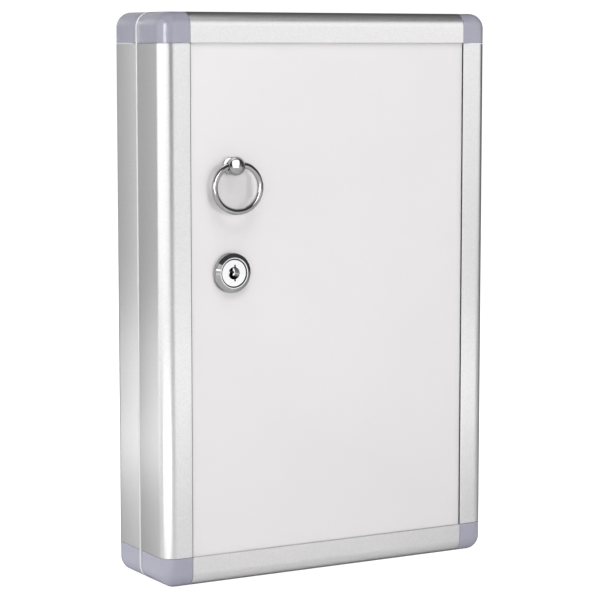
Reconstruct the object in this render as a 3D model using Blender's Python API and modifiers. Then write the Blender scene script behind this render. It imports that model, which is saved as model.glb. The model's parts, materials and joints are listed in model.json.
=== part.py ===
"""Wall key cabinet: two aluminium frames with plastic corners, a hinged door, a cam lock and hook racks.

The origin is the middle of the face that goes against the wall. +X is right, +Z is up, the door faces -Y.
Sizes below are in millimetres. Touching pieces keep a gap of 0.3 mm.
"""
from collections import namedtuple
from math import acos, asin, cos, degrees, pi, radians, sin, sqrt

import bmesh
import bpy
from mathutils import Matrix, Vector

MM = 0.001
GAP = 0.3

# The cabinet
WIDTH = 200.0
HEIGHT = 300.0
DEPTH = 60.0
PARTING_GAP = 1.0
HALF_DEPTH = (DEPTH - PARTING_GAP) / 2

# Frame extrusion: u runs inward from the outer side, v from the parting edge to the outer face
FACE_WIDTH = 16.0
EDGE_RADIUS = 7.5
WALL = 1.2
LIP_V = 1.3
LIP_WIDTH = 9.2
CHAMBER_V = 17.5
CHAMBER_WIDTH = 11.7
SLOT_V = (27.0, 29.0)
REBATE_V = 26.1
EDGE_CHAMFER = 0.5

# Plastic corner pieces
CORNER_RADIUS = 8.0
CORNER_WALL = 2.0
TENON_LENGTH = 12.0
TENON_U = (3.6, 10.1)
TENON_V = (19.1, 25.9)

# Sheets in the frame slots
SHEET = 1.0
SHEET_V = SLOT_V[0] + GAP
SHEET_X = WIDTH / 2 - CHAMBER_WIDTH - GAP
SHEET_Z = HEIGHT / 2 - CHAMBER_WIDTH - GAP
PRESSING_MARGIN = 14.0
PRESSING_SLOPE = 2.0
WALL_HOLE = (50.0, 98.0)
WALL_HOLE_RADIUS = 2.5

# Hinges
HINGE_Z = 95.0
HINGE_LENGTH = 36.0
KNUCKLE_RADIUS = 2.1
KNUCKLE_BORE = 1.2
KNUCKLE_HALF = 7.0
KNUCKLE_PLAY = 0.4
PIN_RADIUS = 0.85
PIN_HEAD = 0.8
LEAF = 1.0
LEAF_REACH = 8.9
HINGE_SCREW_U = 5.8
HINGE_SCREW_Z = 11.0
HINGE_SCREW_HEAD = 2.2
HINGE_SCREW_SHANK = 1.25
SCREW_CLEARANCE = 0.4

# Cam lock, on an axis square to the door; a is the distance in front of the door sheet
LOCK_X = -60.3
LOCK_Z = 14.8
BEZEL_RADIUS = 10.45
BEZEL_RIM = 2.7
BEZEL_FACE_RADIUS = 8.2
BEZEL_HEIGHT = 4.0
BODY_RADIUS = 9.2
BODY_FLAT = 8.2
BODY_END = -31.8
PLUG_BORE = 7.5
PLUG_RADIUS = 7.15
PLUG_FACE = 3.7
TAIL_HALF = 3.5
CAM_FRONT = -32.3
CAM_THICK = 1.6
CAM_REACH = 34.0
CAM_HUB = 8.0
CAM_TIP = 5.5
KEYWAY = (1.2, 8.7, 20.0)
KEY_RECESS_RADIUS = 3.2
KEY_RECESS_DEPTH = 0.8
CAM_SCREW_SHANK = 1.9
CAM_SCREW_HEAD = 3.8
NUT_CORNER_RADIUS = 12.4
NUT_THICKNESS = 3.5

# Ring pull: a flattened ball on a foot. The ring hangs a little askew, its right side out from the door
PULL_X = -60.7
PULL_Z = 70.7
BALL_RADIUS = 4.9
BALL_HALF_DEPTH = 4.1
BALL_OUT = 7.0
NECK_RADIUS = 3.0
FOOT_RADIUS = 4.45
PULL_SCREW_SHANK = 1.5
PULL_SCREW_HEAD = 3.4
PULL_THREAD_DEPTH = 4.3
RING_RADIUS = 12.5
RING_CHORD = 11.2
RING_BEND = 35.0
RING_WIRE = 1.6
RING_BORE = 2.0
RING_TURN = Matrix.Rotation(radians(-9), 4, "Z") @ Matrix.Rotation(radians(-4), 4, "Y")

# Hook racks
RACK_TOP_HOOK = 114.0
RACK_PITCH = 50.0
RACKS = 5
HOOKS = 8
HOOK_PITCH = 21.0
HOOK_REACH = 16.5
HOOK_WIRE = 1.1
HOOK_BEND = 3.0
HOOK_HEIGHT = 5.5
RACK_HALF = 84.0
RACK_BELOW = 6.0
RACK_ABOVE = 14.0
RACK_Y = -2.5
INDEX_MARGIN = 4.0
INDEX_THICK = 0.6
INDEX_Z = (3.4, 12.4)

BUMPER_Z = 120.0
BUMPER_RADIUS = 3.0

Half = namedtuple("Half", "name edge_y out")
DOOR = Half("door", -(HALF_DEPTH + PARTING_GAP), -1)
CASE = Half("case", -HALF_DEPTH, 1)
INWARD = {"left": (1, 0, 0), "right": (-1, 0, 0), "top": (0, 0, -1), "bottom": (0, 0, 1)}
HINGE_AXIS = Vector((WIDTH / 2, -(HALF_DEPTH + PARTING_GAP / 2), 0))
SHEET_FRONT_Y = DOOR.edge_y - SHEET_V - SHEET
LOCK_AXIS = Vector((LOCK_X, SHEET_FRONT_Y, LOCK_Z))
PULL_AXIS = Vector((PULL_X, SHEET_FRONT_Y, PULL_Z))
BALL_CENTRE = PULL_AXIS + Vector((0, -BALL_OUT, 0))
TO_FRONT = Matrix.Rotation(pi / 2, 4, "X")

# Name: colour, metallic, roughness
FINISHES = {
    "anodised_aluminium": ((0.76, 0.77, 0.78), 1.0, 0.38),
    "corner_plastic": ((0.43, 0.44, 0.53), 0.0, 0.35),
    "door_coating": ((0.84, 0.83, 0.83), 0.0, 0.40),
    "back_coating": ((0.72, 0.72, 0.72), 0.0, 0.45),
    "chrome": ((0.82, 0.82, 0.83), 1.0, 0.08),
    "zinc_steel": ((0.60, 0.61, 0.62), 1.0, 0.32),
    "label_plastic": ((0.90, 0.90, 0.88), 0.0, 0.50),
    "rubber": ((0.05, 0.05, 0.05), 0.0, 0.80),
}


# ---- Scene and objects ----------------------------------------------------------------

def collection(name):
    made = bpy.data.collections.new(name)
    bpy.context.scene.collection.children.link(made)
    return made


def material(finish):
    if finish in bpy.data.materials:
        return bpy.data.materials[finish]
    colour, metallic, roughness = FINISHES[finish]
    made = bpy.data.materials.new(finish)
    made.use_nodes = True
    shader = made.node_tree.nodes["Principled BSDF"]
    shader.inputs["Base Color"].default_value = (*colour, 1.0)
    shader.inputs["Metallic"].default_value = metallic
    shader.inputs["Roughness"].default_value = roughness
    return made


def empty(name, at, parent=None):
    made = bpy.data.objects.new(name, None)
    PARTS.objects.link(made)
    made.location = Vector(at) * MM
    if parent:
        made.parent = parent
        made.matrix_parent_inverse = Matrix.Translation(-parent.location)
    return made


def finish(obj, pivot, look):
    """A finished piece: its material, and the pivot that carries it."""
    obj.data.materials.clear()
    obj.data.materials.append(material(look))
    obj.parent = pivot
    obj.matrix_parent_inverse = Matrix.Translation(-pivot.location)
    return obj


def as_cutter(obj):
    """Moves an operand of a Boolean out of the parts and hides it from renders."""
    for owner in list(obj.users_collection):
        owner.objects.unlink(obj)
    CUTTERS.objects.link(obj)
    obj.hide_render = True
    obj.display_type = "WIRE"
    return obj


def boolean(obj, operand, operation="DIFFERENCE"):
    if operand.name not in CUTTERS.objects:
        as_cutter(operand)
    step = obj.modifiers.new(operand.name, "BOOLEAN")
    step.operation = operation
    step.solver = "EXACT"
    step.object = operand
    return obj


# ---- Shapes ---------------------------------------------------------------------------

def mesh_object(name, mesh, at=(0, 0, 0), turn=None):
    obj = bpy.data.objects.new(name, mesh)
    PARTS.objects.link(obj)
    obj.matrix_world = Matrix.Translation(Vector(at) * MM) @ (turn or Matrix())
    return obj


def box(name, low, high, at=(0, 0, 0)):
    low, high = Vector(low), Vector(high)
    shape = bmesh.new()
    bmesh.ops.create_cube(shape, size=1.0)
    for vert in shape.verts:
        vert.co = Vector(((low[k] + high[k]) / 2 + vert.co[k] * (high[k] - low[k])) * MM for k in range(3))
    mesh = bpy.data.meshes.new(name)
    shape.to_mesh(mesh)
    shape.free()
    return mesh_object(name, mesh, at)


def rod(name, radius, length, at, turn=None, sides=24):
    """A plain cylinder, centred on its own Z axis."""
    shape = bmesh.new()
    bmesh.ops.create_cone(shape, cap_ends=True, segments=sides, radius1=radius * MM, radius2=radius * MM,
                          depth=length * MM)
    mesh = bpy.data.meshes.new(name)
    shape.to_mesh(mesh)
    shape.free()
    return mesh_object(name, mesh, at, turn)


def turned(name, profile, at, turn=TO_FRONT, steps=32, ring=False):
    """A turned piece: (radius, height) points, running down the outer side. A ring's profile closes."""
    mesh = bpy.data.meshes.new(name)
    count = len(profile)
    edges = [(i, (i + 1) % count) for i in range(count if ring else count - 1)]
    mesh.from_pydata([(r * MM, 0, a * MM) for r, a in profile], edges, [])
    obj = mesh_object(name, mesh, at, turn)
    screw = obj.modifiers.new("Turn", "SCREW")
    screw.axis = "Z"
    screw.steps = screw.render_steps = steps
    screw.use_merge_vertices = True
    screw.merge_threshold = 0.00001
    return obj


def arc(centre, radius, start, end, count):
    """Points along an arc, angles in degrees."""
    angles = [radians(start + (end - start) * i / count) for i in range(count + 1)]
    return [(centre[0] + radius * cos(a), centre[1] + radius * sin(a)) for a in angles]


def extruded(name, loops, length, at, x_axis, y_axis):
    """A flat outline with its holes, extruded along the third axis, centred, and turned into a mesh."""
    curve = bpy.data.curves.new(name, "CURVE")
    curve.dimensions = "2D"
    curve.fill_mode = "BOTH"
    curve.extrude = length / 2 * MM
    for loop in loops:
        spline = curve.splines.new("POLY")
        spline.points.add(len(loop) - 1)
        for point, (x, y) in zip(spline.points, loop):
            point.co = (x * MM, y * MM, 0, 1)
        spline.use_cyclic_u = True
    x_axis, y_axis = Vector(x_axis), Vector(y_axis)
    axes = Matrix((x_axis, y_axis, x_axis.cross(y_axis))).transposed().to_4x4()
    return curve_to_mesh(name, curve, at, axes)


def wire(name, points, radius, at, closed=False, sides=2):
    """A round wire along points."""
    curve = bpy.data.curves.new(name, "CURVE")
    curve.dimensions = "3D"
    curve.bevel_depth = radius * MM
    curve.bevel_resolution = sides
    curve.use_fill_caps = not closed
    spline = curve.splines.new("POLY")
    spline.points.add(len(points) - 1)
    for point, place in zip(spline.points, points):
        point.co = (*(value * MM for value in place), 1)
    spline.use_cyclic_u = closed
    return curve_to_mesh(name, curve, at, Matrix())


def curve_to_mesh(name, curve, at, turn):
    drawn = bpy.data.objects.new(name + "_curve", curve)
    PARTS.objects.link(drawn)
    drawn.matrix_world = Matrix.Translation(Vector(at) * MM) @ turn
    graph = bpy.context.evaluated_depsgraph_get()
    mesh = bpy.data.meshes.new_from_object(drawn.evaluated_get(graph))
    shape = bmesh.new()
    shape.from_mesh(mesh)
    bmesh.ops.remove_doubles(shape, verts=shape.verts, dist=0.000001)
    bmesh.ops.recalc_face_normals(shape, faces=shape.faces)
    shape.to_mesh(mesh)
    shape.free()
    made = mesh_object(name, mesh)
    made.matrix_world = drawn.matrix_world.copy()
    bpy.data.objects.remove(drawn)
    mesh.name = name
    return made


# ---- The two frames -------------------------------------------------------------------

def rail_outline():
    """The extrusion's section: side wall, rounded edge, face flange, sheet slot, chamber and lip."""
    bend = (EDGE_RADIUS, HALF_DEPTH - EDGE_RADIUS)
    return [
        (EDGE_CHAMFER, 0), (0, EDGE_CHAMFER),
        *arc(bend, EDGE_RADIUS, 180, 90, 7),
        (FACE_WIDTH, HALF_DEPTH), (FACE_WIDTH, SLOT_V[1]), (CHAMBER_WIDTH, SLOT_V[1]),
        (CHAMBER_WIDTH, SLOT_V[0]), (FACE_WIDTH, SLOT_V[0]), (FACE_WIDTH, REBATE_V),
        (CHAMBER_WIDTH, REBATE_V), (CHAMBER_WIDTH, CHAMBER_V), (WALL, CHAMBER_V),
        (WALL, LIP_V + WALL), (LIP_WIDTH, LIP_V + WALL), (LIP_WIDTH, LIP_V), (WALL, LIP_V), (WALL, 0),
    ]


def chamber_outline():
    bend = (EDGE_RADIUS, HALF_DEPTH - EDGE_RADIUS)
    inner = CHAMBER_WIDTH - WALL
    return [
        (WALL, CHAMBER_V + WALL), *arc(bend, EDGE_RADIUS - WALL, 180, 90, 5),
        (inner, HALF_DEPTH - WALL), (inner, CHAMBER_V + WALL),
    ]


def rail(half, side):
    inward = Vector(INWARD[side])
    reach, span = (WIDTH / 2, HEIGHT) if inward.x else (HEIGHT / 2, WIDTH)
    length = span - 2 * (FACE_WIDTH + GAP)
    at = -inward * reach + Vector((0, half.edge_y, 0))
    loops = [rail_outline(), chamber_outline()]
    return extruded(f"{half.name}_{side}_rail", loops, length, at, inward, (0, half.out, 0))


def corner_block(name, at, turn):
    """The moulded corner's outside: a block rounded at its outer corner and round its face."""
    shape = bmesh.new()
    bmesh.ops.create_cube(shape, size=1.0)
    size = Vector((FACE_WIDTH, FACE_WIDTH, HALF_DEPTH)) * MM
    for vert in shape.verts:
        vert.co = Vector((vert.co[k] + 0.5) * size[k] for k in range(3))
    near = 0.00001

    def outer(edge):
        return all(v.co.x < near and v.co.y < near for v in edge.verts)

    bmesh.ops.bevel(shape, geom=[e for e in shape.edges if outer(e)], offset=CORNER_RADIUS * MM,
                    segments=6, profile=0.5, affect="EDGES")

    def rim(edge):
        level = all(abs(v.co.z - size.z) < near for v in edge.verts)
        middle = (edge.verts[0].co + edge.verts[1].co) / 2
        return level and middle.x < size.x - near and middle.y < size.y - near

    bmesh.ops.bevel(shape, geom=[e for e in shape.edges if rim(e)], offset=EDGE_RADIUS * MM,
                    segments=7, profile=0.5, affect="EDGES")
    mesh = bpy.data.meshes.new(name)
    shape.to_mesh(mesh)
    shape.free()
    return mesh_object(name, mesh, at, turn)


def corner_pocket(name, at, turn):
    """What is taken out of the corner's back, leaving an even wall round its outer bend."""
    bend = (CORNER_RADIUS, CORNER_RADIUS)
    inner, far = CORNER_WALL, FACE_WIDTH + 1
    loop = [*arc(bend, CORNER_RADIUS - inner, 270, 180, 5), (inner, far), (far, far), (far, inner)]
    low, high = -1, CHAMBER_V - 1
    pocket = extruded(name, [loop], high - low, (0, 0, 0), (1, 0, 0), (0, 1, 0))
    lift = Matrix.Translation((0, 0, (low + high) / 2 * MM))
    pocket.matrix_world = Matrix.Translation(Vector(at) * MM) @ turn @ lift
    return pocket


def corner(half, side, end):
    """One corner piece. Its local X and Y run inward and its local Z runs to the face."""
    x_axis, y_axis = Vector(INWARD[side]), Vector(INWARD[end])
    if x_axis.cross(y_axis).y * half.out < 0:
        x_axis, y_axis = y_axis, x_axis
    at = Vector((-INWARD[side][0] * WIDTH / 2, half.edge_y, -INWARD[end][2] * HEIGHT / 2))
    turn = Matrix((x_axis, y_axis, x_axis.cross(y_axis))).transposed().to_4x4()
    name = f"{half.name}_{end}_{side}_corner"
    block = corner_block(name, at, turn)
    boolean(block, corner_pocket(name + "_pocket", at, turn))
    far = FACE_WIDTH + 1
    slot = box(name + "_slot", (CHAMBER_WIDTH, CHAMBER_WIDTH, SLOT_V[0]), (far, far, SLOT_V[1]))
    root, tip = FACE_WIDTH - 1, FACE_WIDTH + TENON_LENGTH
    (near_u, far_u), (near_v, far_v) = TENON_U, TENON_V
    tenon_a = box(name + "_tenon_a", (root, near_u, near_v), (tip, far_u, far_v))
    tenon_b = box(name + "_tenon_b", (near_u, root, near_v), (far_u, tip, far_v))
    for piece, operation in ((slot, "DIFFERENCE"), (tenon_a, "UNION"), (tenon_b, "UNION")):
        piece.matrix_world = block.matrix_world.copy()
        boolean(block, piece, operation)
    return block


def frame(half, pivot):
    rails = {side: finish(rail(half, side), pivot, "anodised_aluminium") for side in INWARD}
    for side in ("left", "right"):
        for end in ("top", "bottom"):
            finish(corner(half, side, end), pivot, "corner_plastic")
    return rails


# ---- Sheets ---------------------------------------------------------------------------

def lock_hole():
    """The door's hole for the lock: round with two flats that stop the lock turning."""
    radius, flat = BODY_RADIUS + GAP, BODY_FLAT + GAP
    turn = degrees(acos(flat / radius))
    loop = [*arc((0, 0), radius, turn, 180 - turn, 12), *arc((0, 0), radius, 180 + turn, 360 - turn, 12)]
    return extruded("lock_hole", [loop], 6 * SHEET, LOCK_AXIS, (1, 0, 0), (0, 0, 1))


def door_sheet(pivot):
    rear = SHEET_FRONT_Y + SHEET
    sheet = box("door_panel", (-SHEET_X, SHEET_FRONT_Y, -SHEET_Z), (SHEET_X, rear, SHEET_Z))
    boolean(sheet, lock_hole())
    boolean(sheet, rod("pull_screw_hole", PULL_SCREW_SHANK + SCREW_CLEARANCE, 6 * SHEET, PULL_AXIS, TO_FRONT))
    return finish(sheet, pivot, "door_coating")


def back_sheet(pivot):
    """The back: its edge sits in the case's slot, and its middle is pressed out to the wall."""
    edge_y = CASE.edge_y + SHEET_V + SHEET
    shape = bmesh.new()
    bmesh.ops.create_grid(shape, x_segments=1, y_segments=1, size=1.0)
    for vert in shape.verts:
        vert.co = Vector((vert.co.x * SHEET_X, edge_y, vert.co.y * SHEET_Z)) * MM
    for thickness in (PRESSING_MARGIN, PRESSING_SLOPE):
        shape.normal_update()
        middle = min(shape.faces, key=lambda face: face.calc_center_median().length)
        bmesh.ops.inset_region(shape, faces=[middle], thickness=thickness * MM, use_boundary=True)
    middle = min(shape.faces, key=lambda face: face.calc_center_median().length)
    for vert in middle.verts:
        vert.co.y = 0
    shape.normal_update()
    if middle.normal.y < 0:
        bmesh.ops.reverse_faces(shape, faces=shape.faces)
    mesh = bpy.data.meshes.new("back_panel")
    shape.to_mesh(mesh)
    shape.free()
    sheet = mesh_object("back_panel", mesh)
    solid = sheet.modifiers.new("Thickness", "SOLIDIFY")
    solid.thickness = SHEET * MM
    solid.offset = -1
    for x in (-WALL_HOLE[0], WALL_HOLE[0]):
        for z in (-WALL_HOLE[1], WALL_HOLE[1]):
            boolean(sheet, rod("wall_hole", WALL_HOLE_RADIUS, 8 * SHEET, (x, 0, z), TO_FRONT, 20))
    return finish(sheet, pivot, "back_coating")


# ---- Hinges ---------------------------------------------------------------------------

def leaf_outline():
    """Plate and knuckle: the hinge pin is at (0, 0) and the plate runs along -X, on the +Y side."""
    low, high = PARTING_GAP / 2, PARTING_GAP / 2 + LEAF
    start = 180 - degrees(asin(high / KNUCKLE_RADIUS))
    end = -180 - degrees(asin(low / KNUCKLE_RADIUS))
    return [(-LEAF_REACH, low), (-LEAF_REACH, high), *arc((0, 0), KNUCKLE_RADIUS, start, end, 18)]


def leaf(half, centre_z, name):
    loops = [leaf_outline(), arc((0, 0), KNUCKLE_BORE, 0, 330, 11)]
    at = HINGE_AXIS + Vector((0, 0, centre_z))
    made = extruded(name, loops, HINGE_LENGTH, at, (1, 0, 0), (0, half.out, 0))
    reach = KNUCKLE_RADIUS + 1
    end = HINGE_LENGTH / 2 + 1
    middle = KNUCKLE_HALF + (KNUCKLE_PLAY if half is CASE else 0)
    spans = [(-middle, middle)] if half is CASE else [(-end, -middle), (middle, end)]
    for low, high in spans:
        boolean(made, box(name + "_gap", (-KNUCKLE_RADIUS - GAP, -reach, low), (reach, reach, high), at))
    return made


def screw_hole(at, turn):
    head, shank = HINGE_SCREW_HEAD + SCREW_CLEARANCE, HINGE_SCREW_SHANK + SCREW_CLEARANCE
    profile = [(0, 0.6), (head, 0.6), (head, 0), (shank, -1.2), (shank, -3.4), (0, -3.4)]
    return turned("hinge_screw_hole", profile, at, turn, 16)


def hinge_screw(name, at, turn):
    head, shank = HINGE_SCREW_HEAD, HINGE_SCREW_SHANK
    profile = [(0, -0.1), (head, -0.1), (head, -0.4), (shank, -1.25), (shank, -4.6), (0, -5.4)]
    return turned(name, profile, at, turn, 16)


def hinges(rails, pivots):
    for end, centre_z in (("upper", HINGE_Z), ("lower", -HINGE_Z)):
        at = HINGE_AXIS + Vector((0, 0, centre_z))
        reach_z = HINGE_LENGTH / 2 + GAP + PIN_HEAD + 0.5
        low = (-KNUCKLE_RADIUS - 0.5, -LIP_V - WALL - 0.9, -reach_z)
        high = (KNUCKLE_RADIUS + 0.5, LIP_V + WALL + 0.9, reach_z)
        notch = box(end + "_hinge_notch", low, high, at)
        for half in (CASE, DOOR):
            plate = leaf(half, centre_z, f"{end}_hinge_{half.name}_leaf")
            boolean(rails[half]["right"], notch)
            turn = Matrix.Rotation(half.out * pi / 2, 4, "X")
            for letter, offset in (("a", HINGE_SCREW_Z), ("b", -HINGE_SCREW_Z)):
                spot = (WIDTH / 2 - HINGE_SCREW_U, half.edge_y, centre_z + offset)
                hole = screw_hole(spot, turn)
                boolean(plate, hole)
                boolean(rails[half]["right"], hole)
                name = f"{end}_hinge_{half.name}_screw_{letter}"
                finish(hinge_screw(name, spot, turn), pivots[half], "zinc_steel")
            finish(plate, pivots[half], "zinc_steel")
        tip = HINGE_LENGTH / 2 + GAP
        profile = [(0, tip + PIN_HEAD), (1.3, tip + PIN_HEAD), (1.8, tip + 0.3), (1.8, tip), (PIN_RADIUS, tip)]
        profile += [(r, -a) for r, a in reversed(profile)]
        finish(turned(end + "_hinge_pin", profile, at, Matrix(), 16), pivots[CASE], "zinc_steel")


# ---- Lock -----------------------------------------------------------------------------

def lock_housing(pivot):
    profile = [
        (PLUG_BORE, BEZEL_HEIGHT - 0.3), (PLUG_BORE + 0.25, BEZEL_HEIGHT), (BEZEL_FACE_RADIUS, BEZEL_HEIGHT),
        (BEZEL_RADIUS, BEZEL_RIM), (BEZEL_RADIUS, GAP), (BODY_RADIUS, GAP), (BODY_RADIUS, BODY_END),
        (PLUG_BORE, BODY_END),
    ]
    made = turned("lock_housing", profile, LOCK_AXIS, steps=48, ring=True)
    for name, side in (("a", -1), ("b", 1)):
        low, high = sorted((side * BODY_FLAT, side * (BODY_RADIUS + 1)))
        reach = BODY_RADIUS + 1
        boolean(made, box("lock_flat_" + name, (low, 0, -reach), (high, -BODY_END + 1, reach), LOCK_AXIS))
    return finish(made, pivot, "chrome")


def lock_plug(pivot):
    """The turning core, with its keyway in front, a square tail for the cam and a screw hole behind."""
    shoulder = BODY_END - 0.2
    tail_end = CAM_FRONT - CAM_THICK - 0.2
    profile = [(0, PLUG_FACE), (PLUG_RADIUS - 0.4, PLUG_FACE), (PLUG_RADIUS, PLUG_FACE - 0.4),
               (PLUG_RADIUS, shoulder), (0, shoulder)]
    made = turned("lock_plug", profile, LOCK_AXIS, steps=40)
    wide, tall, deep = KEYWAY
    slot = box("keyway", (-wide / 2, -PLUG_FACE - 1, -tall / 2), (wide / 2, deep, tall / 2), LOCK_AXIS)
    boolean(made, slot)
    recess_at = LOCK_AXIS + Vector((0, -PLUG_FACE, 0))
    boolean(made, rod("key_recess", KEY_RECESS_RADIUS, 2 * KEY_RECESS_DEPTH, recess_at, TO_FRONT))
    half = TAIL_HALF
    boolean(made, box("lock_tail", (-half, -shoulder - 1, -half), (half, -tail_end, half), LOCK_AXIS), "UNION")
    hole_at = LOCK_AXIS + Vector((0, -tail_end - 3, 0))
    boolean(made, rod("cam_screw_hole", CAM_SCREW_SHANK + SCREW_CLEARANCE, 13, hole_at, TO_FRONT, 20))
    return finish(made, pivot, "chrome")


def cam(pivot):
    """A tapered arm with round ends. It hangs down from the plug when the door is unlocked."""
    tip = -(CAM_REACH - CAM_TIP)
    lean = degrees(asin((CAM_HUB - CAM_TIP) / -tip))
    square = TAIL_HALF + GAP
    loops = [
        [*arc((0, 0), CAM_HUB, -lean, 180 + lean, 14), *arc((0, tip), CAM_TIP, 180 + lean, 360 - lean, 10)],
        [(-square, -square), (-square, square), (square, square), (square, -square)],
    ]
    at = LOCK_AXIS + Vector((0, -CAM_FRONT + CAM_THICK / 2, 0))
    return finish(extruded("lock_cam", loops, CAM_THICK, at, (1, 0, 0), (0, 0, 1)), pivot, "zinc_steel")


def cam_screw(pivot):
    seat = CAM_FRONT - CAM_THICK - 0.5
    end, top = seat + 7.5, seat - 2.0
    profile = [(0, end), (CAM_SCREW_SHANK, end), (CAM_SCREW_SHANK, seat), (CAM_SCREW_HEAD, seat),
               (CAM_SCREW_HEAD, seat - 1.2), (CAM_SCREW_HEAD - 0.8, top), (0, top)]
    made = turned("cam_screw", profile, LOCK_AXIS, steps=20)
    slot_at = LOCK_AXIS + Vector((0, -top, 0))
    boolean(made, box("cam_screw_slot", (-5, -0.8, -0.5), (5, 1, 0.5), slot_at))
    return finish(made, pivot, "zinc_steel")


def lock_nut(pivot):
    """Hexagon nut behind the door sheet."""
    low, high = SHEET + GAP, SHEET + GAP + NUT_THICKNESS
    loops = [arc((0, 0), NUT_CORNER_RADIUS, 0, 300, 5), arc((0, 0), BODY_RADIUS + GAP, 0, 345, 23)]
    at = LOCK_AXIS + Vector((0, (low + high) / 2, 0))
    return finish(extruded("lock_nut", loops, high - low, at, (1, 0, 0), (0, 0, 1)), pivot, "zinc_steel")


# ---- Ring pull ------------------------------------------------------------------------

def pull_knob(pivot):
    """A flattened ball on a neck and a round foot, drilled across for the ring and from behind for its screw."""
    joint = degrees(acos(NECK_RADIUS / BALL_RADIUS))
    ball = [(BALL_RADIUS * r, BALL_OUT + BALL_HALF_DEPTH * a) for r, a in arc((0, 0), 1, 90, -joint, 14)]
    profile = [(0, BALL_OUT + BALL_HALF_DEPTH), *ball[1:], (NECK_RADIUS, 2.0), (3.4, 1.6), (4.0, 1.4),
               (FOOT_RADIUS, 1.1), (FOOT_RADIUS, GAP), (0, GAP)]
    made = turned("pull_knob", profile, PULL_AXIS)
    across = Matrix.Rotation(pi / 2, 4, "Y")
    boolean(made, rod("ring_bore", RING_BORE, 3 * BALL_RADIUS, BALL_CENTRE, RING_TURN @ across, 20))
    thread = PULL_SCREW_SHANK + SCREW_CLEARANCE
    boolean(made, rod("pull_thread", thread, 2 * PULL_THREAD_DEPTH, PULL_AXIS, TO_FRONT, 16))
    return finish(made, pivot, "chrome")


def pull_screw(pivot):
    seat, end = -SHEET - GAP, PULL_THREAD_DEPTH - 0.5
    profile = [(0, end), (PULL_SCREW_SHANK, end), (PULL_SCREW_SHANK, seat), (PULL_SCREW_HEAD, seat),
               (PULL_SCREW_HEAD, seat - 1.1), (PULL_SCREW_HEAD - 0.7, seat - 1.9), (0, seat - 1.9)]
    return finish(turned("pull_screw", profile, PULL_AXIS, steps=20), pivot, "zinc_steel")


def pull_ring(pivot):
    """A round ring, straight where it passes through the ball, with a short bend at each side."""
    straight = sqrt(RING_RADIUS ** 2 - RING_CHORD ** 2) - 1.2
    round_part = arc((0, -RING_CHORD), RING_RADIUS, 90 - RING_BEND, RING_BEND - 270, 34)
    flat = [(-straight, 0), (0, 0), (straight, 0), *round_part]
    points = [RING_TURN @ Vector((x, 0, z)) for x, z in flat]
    return finish(wire("pull_ring", points, RING_WIRE, BALL_CENTRE, closed=True), pivot, "chrome")


# ---- Inside ---------------------------------------------------------------------------

def hook_points(x, z):
    """One hook: out from the rack, with its end turned up."""
    root, out, bend = RACK_Y - SHEET / 2, RACK_Y - HOOK_REACH, HOOK_BEND
    turn = arc((out + bend, z + bend), bend, 270, 180, 4)
    return [(x, root, z), (x, (root + out) / 2, z), *((x, y, up) for y, up in turn), (x, out, z + HOOK_HEIGHT)]


def racks(pivot):
    for row in range(RACKS):
        z = RACK_TOP_HOOK - row * RACK_PITCH
        name = f"hook_rack_{row + 1}"
        strip = box(name, (-RACK_HALF, RACK_Y - SHEET, z - RACK_BELOW), (RACK_HALF, RACK_Y, z + RACK_ABOVE))
        hooks = [wire(f"{name}_hook", hook_points((i - (HOOKS - 1) / 2) * HOOK_PITCH, z), HOOK_WIRE, (0, 0, 0))
                 for i in range(HOOKS)]
        for hook in hooks:
            boolean(strip, hook, "UNION")
        finish(strip, pivot, "zinc_steel")
        front = RACK_Y - SHEET - GAP
        reach = RACK_HALF - INDEX_MARGIN
        low, high = (-reach, front - INDEX_THICK, z + INDEX_Z[0]), (reach, front, z + INDEX_Z[1])
        finish(box(f"index_strip_{row + 1}", low, high), pivot, "label_plastic")


def bumpers(pivot):
    low, high = CASE.edge_y + LIP_V - GAP, DOOR.edge_y - LIP_V + GAP
    for name, z in (("upper_bumper", BUMPER_Z), ("lower_bumper", -BUMPER_Z)):
        at = (-WIDTH / 2 + (WALL + LIP_WIDTH) / 2, (low + high) / 2, z)
        finish(rod(name, BUMPER_RADIUS, low - high, at, TO_FRONT, 20), pivot, "rubber")


# ---- Build ----------------------------------------------------------------------------

for old in list(bpy.data.objects):
    bpy.data.objects.remove(old)
PARTS = collection("key_cabinet")
CUTTERS = collection("cutters")

case_pivot = empty("cabinet", (0, 0, 0))
door_pivot = empty("door_pivot", HINGE_AXIS)
plug_pivot = empty("lock_pivot", LOCK_AXIS, door_pivot)
ring_pivot = empty("ring_pivot", BALL_CENTRE, door_pivot)

frames = {CASE: frame(CASE, case_pivot), DOOR: frame(DOOR, door_pivot)}
back_sheet(case_pivot)
door_sheet(door_pivot)
hinges(frames, {CASE: case_pivot, DOOR: door_pivot})
lock_housing(door_pivot)
lock_nut(door_pivot)
lock_plug(plug_pivot)
cam(plug_pivot)
cam_screw(plug_pivot)
pull_knob(door_pivot)
pull_screw(door_pivot)
pull_ring(ring_pivot)
racks(case_pivot)
bumpers(case_pivot)
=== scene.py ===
"""Looks for the wall key cabinet: fine meshes and materials round the CAD frame, floor, light and camera.

+X is right, +Z is up and the door faces -Y. Lengths are in metres; MM turns millimetres into metres.
"""

import json
from math import acos, cos, degrees, pi, radians, sin, sqrt

import bmesh
import bpy
from mathutils import Matrix, Vector

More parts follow.
